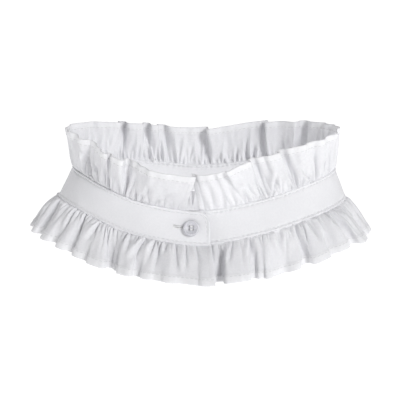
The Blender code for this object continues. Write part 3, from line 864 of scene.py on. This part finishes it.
def build_band(material):
    """The doubled band as one closed shell."""
    corner = END_CORNER_WIDTH / arc_per_degree(BAND_START)
    quarter = 1.0 - np.cos(np.linspace(0.0, 0.5 * math.pi, BAND_CORNER_COLUMNS))
    middle = np.linspace(BAND_START + corner, BAND_END - corner, BAND_COLUMNS)[1:-1]
    turns = np.concatenate([BAND_START + corner * quarter, middle, BAND_END - corner * quarter[::-1]])
    half_rows = np.array(BAND_ROWS_MM) / 1000.0
    rows = np.concatenate([half_rows, BAND_WIDTH - half_rows[::-1]]) / BAND_WIDTH
    heights = band_top(turns)[:, None] * rows[None, :]
    places = np.broadcast_to(turns[:, None], heights.shape)
    cloth = np.stack([places * arc_per_degree(180.0), heights], axis=-1)
    half = band_half(places, heights)
    return shell("band_cloth", band_point(places, heights), band_face(places), half, cloth, material)


def band_stitch_runs():
    """The topstitching: along the lower edge, up round the lapping end and back along the upper edge."""
    scale = arc_per_degree(BAND_START)
    inset = EDGE_STITCH_INSET
    corner_turn = BAND_START + END_CORNER_WIDTH / scale
    end_turn = BAND_START + inset / scale
    straight = np.linspace(BAND_END - STITCHES_END, corner_turn, 900)
    angle = np.linspace(0.0, 0.5 * math.pi, 40)
    bend = END_CORNER_WIDTH - (END_CORNER_WIDTH - inset) * np.cos(angle)
    bend_heights = BAND_WIDTH - END_CORNER_HEIGHT + (END_CORNER_HEIGHT - inset) * np.sin(angle)
    stretches = [
        (straight, inset),
        (np.linspace(corner_turn, end_turn, 12), inset),
        (end_turn, np.linspace(inset, BAND_WIDTH - END_CORNER_HEIGHT, 30)),
        (BAND_START + bend / scale, bend_heights),
        (straight[::-1], BAND_WIDTH - inset),
    ]
    turns, heights = np.concatenate([np.broadcast_arrays(*stretch) for stretch in stretches], axis=1)
    middle = band_point(turns, heights)
    normals = band_face(turns)
    half = normals * band_half(turns, heights)[:, None]
    return [(middle + half, normals), (middle - half, -normals)]


def button_frame(side=0.0, up=0.0):
    """The button's frame, its axis straight out of the band's outer face."""
    turn = np.array(BUTTON_TURN)
    face = Vector(band_face(turn))
    rise = Vector(up_the_band(turn))
    across = rise.cross(face)
    seat = Vector(band_point(turn, BUTTON_HEIGHT))
    seat += face * (0.5 * BAND_WALL + BUTTON_GAP) + across * side + rise * up
    return Matrix.Translation(seat) @ Matrix((across, rise, face)).transposed().to_4x4()


def button_outline():
    """Half the button's section: from the middle of its back, round the rim, to the middle of its dish."""
    rim = BUTTON_RADIUS
    top = BUTTON_THICKNESS
    back = [(0.0, 0.00005), (rim - 0.0011, 0.0), (rim - 0.0004, 0.00015), (rim - 0.00010, 0.0005)]
    side = [(rim, 0.0009), (rim - 0.00003, 0.0014), (rim - 0.00018, 0.0018), (rim - 0.00045, top - 0.00010)]
    roll = [(rim - 0.00085, top), (rim - 0.00125, top - 0.00008), (rim - 0.00160, top - 0.00040)]
    dish = [(rim - 0.00200, top - 0.00072), (rim - 0.0026, top - 0.00085), (0.0, top - 0.00090)]
    return back + side + roll + dish


def object_from(name, form):
    """An object that takes over a bmesh."""
    data = bpy.data.meshes.new(name)
    form.to_mesh(data)
    form.free()
    return add_object(name, data)


def build_button(material):
    """A turned button: rounded rim, shallow dish and four thread holes."""
    form = bmesh.new()
    points = [form.verts.new((radius, 0.0, height)) for radius, height in button_outline()]
    edges = [form.edges.new(pair) for pair in zip(points, points[1:])]
    axis = {"cent": (0, 0, 0), "axis": (0, 0, 1), "angle": math.tau}
    bmesh.ops.spin(form, geom=points + edges, steps=72, use_merge=True, **axis)
    bmesh.ops.remove_doubles(form, verts=form.verts, dist=1e-7)
    bmesh.ops.recalc_face_normals(form, faces=form.faces)
    button = object_from("button_disc", form)
    button.matrix_world = button_frame()
    cutters = []
    for side, up in HOLE_PLACES:
        hole = bmesh.new()
        round_bar = {"radius1": HOLE_RADIUS, "radius2": HOLE_RADIUS, "depth": CUTTER_LENGTH}
        bmesh.ops.create_cone(hole, cap_ends=True, segments=24, **round_bar)
        cutter = object_from("button_hole", hole)
        cutter.matrix_world = button_frame(side, up)
        cut = button.modifiers.new("thread_hole", "BOOLEAN")
        cut.operation = "DIFFERENCE"
        cut.object = cutter
        cutters.append(cutter)
    bpy.context.view_layer.update()
    whole = button.evaluated_get(bpy.context.evaluated_depsgraph_get())
    button.data = bpy.data.meshes.new_from_object(whole)
    button.modifiers.clear()
    for cutter in cutters:
        bpy.data.objects.remove(cutter)
    button.data.shade_smooth()
    button.data.set_sharp_from_angle(angle=math.radians(40))
    button.data.materials.clear()
    button.data.materials.append(material)
    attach(button, "root")
    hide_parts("button")


def strands(name, paths, radius, material, sides=8):
    """Round threads along short paths, as one mesh with closed ends."""
    points = []
    faces = []
    for path in paths:
        path = [Vector(point) for point in path]
        base = len(points)
        last = len(path) - 1
        for place, point in enumerate(path):
            ahead = (path[min(place + 1, last)] - path[max(place - 1, 0)]).normalized()
            side = ahead.orthogonal().normalized()
            other = ahead.cross(side)
            for corner in range(sides):
                angle = math.tau * corner / sides
                points.append(point + (side * math.cos(angle) + other * math.sin(angle)) * radius)
        for start in range(base, base + last * sides, sides):
            for corner in range(sides):
                here = start + corner
                beside = start + (corner + 1) % sides
                faces.append([here, beside, beside + sides, here + sides])
        faces.append(ring(base, sides)[::-1])
        faces.append(ring(base + last * sides, sides))
    return sewn_mesh(name, np.array([tuple(point) for point in points]), faces, None, material)


def build_button_thread(material):
    """Two bars of thread over the button, each of three strands, and the shank that holds it off the band."""
    seat = button_frame()
    half = 0.5 * HOLE_SPACING
    arch = BAR_HALF_ARCH + [(-across, rise) for across, rise in BAR_HALF_ARCH[::-1]]
    floor = BUTTON_THICKNESS - DISH_DEPTH
    paths = []
    for up in (-half, half):
        for strand in (-1, 0, 1):
            offset = up + strand * STRAND_SPACING
            path = [Vector((half * across, offset, floor + BAR_RISE * rise)) for across, rise in arch]
            paths.append([seat @ point for point in path])
    shank = []
    for step in range(SHANK_STEPS + 1):
        angle = math.tau * SHANK_ROUNDS * step / SHANK_STEPS
        height = -BUTTON_GAP - 0.0001 + (BUTTON_GAP + 0.0002) * step / SHANK_STEPS
        shank.append(seat @ Vector((SHANK_RADIUS * math.cos(angle), SHANK_RADIUS * math.sin(angle), height)))
    strands("button_thread", paths + [shank], STRAND_RADIUS, material)


def buttonhole_place(along, up, lift):
    """A point near the buttonhole: metres to the viewer's left of the button, up the band and out of it."""
    turn = np.array(BUTTON_TURN + along / arc_per_degree(BUTTON_TURN))
    height = np.array(BUTTON_HEIGHT + up)
    return Vector(band_point(turn, height) + band_face(turn) * (band_half(turn, height) + lift))


def build_buttonhole(thread_material, slit_material):
    """A slit with a close row of stitches along each side and a bar across each end."""
    first = BUTTONHOLE_START
    last = BUTTONHOLE_START + BUTTONHOLE_LENGTH
    steps = int((last - first) / WHIP_PITCH)
    paths = []
    for side in (-1.0, 1.0):
        near = SLIT_HALF * side
        far = (SLIT_HALF + WHIP_REACH) * side
        over = [(near, -0.0001, -1), (near, 0.0001, -0.6), (0.5 * (near + far), 0.00017, 0)]
        down = [(far, 0.0001, 0.6), (far, -0.0001, 1)]
        for step in range(steps + 1):
            along = first + (last - first) * step / steps
            path = [(along + WHIP_SLANT * lean, up, lift) for up, lift, lean in over + down]
            paths.append([buttonhole_place(*place) for place in path])
    for along in (first - END_BAR_OUT, last + END_BAR_OUT):
        for step in (-1, 0, 1):
            spot = along + step * END_BAR_SPACING
            paths.append([buttonhole_place(spot, up, lift) for up, lift in zip(END_BAR_UPS, END_BAR_LIFTS)])
    strands("buttonhole_stitches", paths, WHIP_RADIUS, thread_material, sides=6)
    # The slit: a thin grey strip on the band, painted shade for the shadow inside the cut
    places = np.linspace(first, last, SLIT_PLACES)
    points = [tuple(buttonhole_place(along, up, lift)) for along in places for up, lift in SLIT_ROWS]
    faces = []
    for step in range(SLIT_PLACES - 1):
        for start in (3 * step, 3 * step + 1):
            faces.append([start, start + 3, start + 4, start + 1])
    sewn_mesh("buttonhole_slit_shade", np.array(points), faces, None, slit_material)


def fill(made, inputs):
    """Fill in a shader node. Each input is a value, or a socket of another node to link to."""
    for key, value in inputs.items():
        if isinstance(value, bpy.types.NodeSocket):
            made.id_data.links.new(value, made.inputs[key])
        else:
            made.inputs[key].default_value = value


def node(tree, kind, inputs=None, **settings):
    made = tree.nodes.new(kind)
    for key, value in settings.items():
        setattr(made, key, value)
    fill(made, inputs or {})
    return made


def new_material(name):
    material = bpy.data.materials.new(name)
    material.use_nodes = True
    return material, material.node_tree, material.node_tree.nodes["Principled BSDF"]


def product(tree, first, second):
    return node(tree, "ShaderNodeMath", {0: first, 1: second}, operation="MULTIPLY").outputs[0]


def sine_of(tree, value, period):
    angle = product(tree, value, math.tau / period)
    return node(tree, "ShaderNodeMath", {0: angle}, operation="SINE").outputs[0]


def noise(tree, scale, detail=2.0, distortion=0.0):
    """An unevenness that stays with the object."""
    place = node(tree, "ShaderNodeTexCoord").outputs["Object"]
    inputs = {"Vector": place, "Scale": scale, "Detail": detail, "Distortion": distortion}
    return node(tree, "ShaderNodeTexNoise", inputs).outputs["Fac"]


def two_tones(tree, value, start, dark, end, light):
    """A colour that goes from dark to light while the value goes from start to end."""
    ramp = node(tree, "ShaderNodeValToRGB", {"Fac": value})
    for stop, position, colour in zip(ramp.color_ramp.elements, (start, end), (dark, light)):
        stop.position = position
        stop.color = colour
    return ramp.outputs["Color"]


def relief(tree, height, strength, distance, under=None):
    """Bumps on the surface, or on the relief under them."""
    inputs = {"Height": height, "Strength": strength, "Distance": distance}
    if under is not None:
        inputs["Normal"] = under
    return node(tree, "ShaderNodeBump", inputs).outputs["Normal"]


def dimmed(colour, share):
    return tuple(share * channel for channel in colour[:3]) + (1.0,)


def cotton(name, shade, creases, hem_from=1.0):
    """Plain-woven cotton: crossing threads, slubs, fine creases, a faint change of shade, and whiter hems.

    A hem is three layers thick, so less of the dark behind it shows through. It starts hem_from metres up.
    """
    material, tree, shader = new_material(name)
    fill(shader, {"Roughness": 0.82, "Specular IOR Level": 0.25})
    fill(shader, {"Sheen Weight": 0.18, "Sheen Roughness": 0.45})
    cloth = node(tree, "ShaderNodeSeparateXYZ", {"Vector": node(tree, "ShaderNodeTexCoord").outputs["UV"]})
    warp = sine_of(tree, cloth.outputs[0], WEAVE_PERIOD)
    weft = sine_of(tree, cloth.outputs[1], WEAVE_PERIOD * 1.15)
    slubs = noise(tree, 900.0)
    tone = two_tones(tree, product(tree, noise(tree, 45.0, 3.0), slubs), 0.12, shade, 0.38, COTTON_WHITE)
    hem_range = {"From Min": hem_from - 0.0001, "From Max": hem_from + 0.0001, "To Max": 0.3}
    hemmed = node(tree, "ShaderNodeMapRange", {"Value": cloth.outputs[1]} | hem_range).outputs[0]
    # Inputs 6 and 7 are the mix node's two colours, and output 2 is the mixed one
    tint = node(tree, "ShaderNodeMix", {0: hemmed, 6: tone, 7: HEM_WHITE}, data_type="RGBA")
    wrinkles = relief(tree, noise(tree, 95.0, 4.0), creases, 0.0012)
    threads = relief(tree, product(tree, warp, weft), WEAVE_RELIEF, 0.00004, wrinkles)
    fill(shader, {"Base Color": tint.outputs[2], "Normal": relief(tree, slubs, 0.20, 0.0002, threads)})
    return material


def sewing_thread(name, colour):
    """Spun thread: fine twisted strands over a matte surface."""
    material, tree, shader = new_material(name)
    fibre = noise(tree, 4200.0)
    tone = two_tones(tree, fibre, 0.35, dimmed(colour, 0.93), 0.65, colour)
    fill(shader, {"Base Color": tone, "Normal": relief(tree, fibre, 0.3, 0.00005)})
    fill(shader, {"Roughness": 0.6, "Sheen Weight": 0.2})
    return material


def pearl_plastic(name):
    """Moulded pearl plastic: a soft swirl of pale greys under a smooth surface."""
    material, tree, shader = new_material(name)
    swirl = noise(tree, 260.0, 3.0, distortion=2.2)
    tone = two_tones(tree, swirl, 0.32, PEARL_SHADE, 0.68, PEARL_WHITE)
    fill(shader, {"Base Color": tone, "Normal": relief(tree, noise(tree, 1500.0), 0.06, 0.0001)})
    fill(shader, {"Roughness": 0.30, "Coat Weight": 0.25, "Coat Roughness": 0.15})
    return material


def matte(name, colour, glow=0.0):
    """A plain surface with a faint grain, which may glow white."""
    material, tree, shader = new_material(name)
    tone = two_tones(tree, noise(tree, 300.0), 0.0, dimmed(colour, 0.98), 1.0, colour)
    fill(shader, {"Base Color": tone, "Roughness": 0.9, "Specular IOR Level": 0.1})
    fill(shader, {"Emission Color": PURE_WHITE, "Emission Strength": glow})
    return material


def build_stage():
    """A pale floor well below the collar, which is shown as if worn, with nothing under it."""
    mesh = bpy.data.meshes.new("floor")
    far = FLOOR_REACH
    corners = [(x, y, FLOOR_HEIGHT) for x, y in ((-far, -far), (far, -far), (far, far), (-far, far))]
    mesh.from_pydata(corners, [], [(0, 1, 2, 3)])
    mesh.materials.append(matte("floor_white", FLOOR_WHITE, FLOOR_GLOW))
    add_object("floor", mesh)


def light_scene():
    world = bpy.data.worlds.new("studio")
    world.use_nodes = True
    tree = world.node_tree
    place = node(tree, "ShaderNodeTexCoord").outputs["Generated"]
    height = node(tree, "ShaderNodeSeparateXYZ", {"Vector": place}).outputs[2]
    sky = {"From Min": HORIZON_TOP, "From Max": SKY_FROM, "To Min": HORIZON_STRENGTH, "To Max": SKY_STRENGTH}
    strength = node(tree, "ShaderNodeMapRange", {"Value": height} | sky).outputs[0]
    fill(tree.nodes["Background"], {"Color": PURE_WHITE, "Strength": strength})
    bpy.context.scene.world = world
    for row in LAMPS:
        sun = bpy.data.lights.new(row.name, "SUN")
        sun.energy = row.strength
        sun.angle = math.radians(LAMP_ANGLE)
        lamp = add_object(row.name, sun)
        lamp.rotation_euler = Vector(row.comes_from).to_track_quat("Z", "Y").to_euler()
    view = bpy.context.scene.view_settings
    view.view_transform = "Standard"
    view.look = "Medium High Contrast"


def add_camera():
    """The photo's view: from the front and a little above, with a long lens."""
    tilt = math.radians(CAMERA_ELEVATION)
    back = Vector((0.0, -math.cos(tilt), math.sin(tilt)))
    right = Vector((1.0, 0.0, 0.0))
    camera = bpy.data.cameras.new("camera")
    camera.lens = CAMERA_LENS
    eye = add_object("camera", camera)
    turned = Matrix((right, back.cross(right), back)).transposed().to_4x4()
    eye.matrix_world = Matrix.Translation(Vector(CAMERA_AIM) + back * CAMERA_DISTANCE) @ turned
    bpy.context.scene.camera = eye


def main():
    white = cotton("white_poplin", COTTON_SHADE, 0.16, hem_from=UPPER_WIDTH - HEM_WIDTH)
    pressed = cotton("pressed_poplin", PRESSED_SHADE, 0.08)
    spun = sewing_thread("white_thread", THREAD_WHITE)
    # Thread greyed as painted shade, so the stitch rows show as their shadows would
    shaded_stitch_thread = sewing_thread("stitching_thread_painted_shade", STITCH_PAINTED_SHADE)
    upper = Ruffle("upper_ruffle_cloth", UPPER_FOLDS, UPPER_CREASES, UPPER_WIDTH, upward=True, seed=11)
    lower = Ruffle("lower_ruffle_cloth", LOWER_FOLDS, LOWER_CREASES, LOWER_WIDTH, upward=False, seed=29)
    for ruffle, solid in ((upper, "upper_ruffle"), (lower, "lower_ruffle")):
        piece = ruffle.build(white)
        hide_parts(solid)
        rise = 1.0 - (HEM_WIDTH - HEM_STITCH_INSET) / ruffle.width
        runs = [ruffle.line_at(rise, side) for side in (1.0, -1.0)]
        stitches = thread(solid + "_hem_stitches", runs, shaded_stitch_thread)
        ruffle.flat_length()
    band = build_band(pressed)
    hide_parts("collar_band")
    topstitch = thread("band_topstitching", band_stitch_runs(), shaded_stitch_thread)
    band_length = (BAND_END - BAND_START) * float(arc_per_degree(np.linspace(0.0, 360.0, 361)).mean())
    build_button(pearl_plastic("pearl_plastic"))
    build_button_thread(spun)
    build_buttonhole(spun, matte("slit_shadow", SLIT_SHADE_GREY))
    build_stage()
    light_scene()
    add_camera()


main()
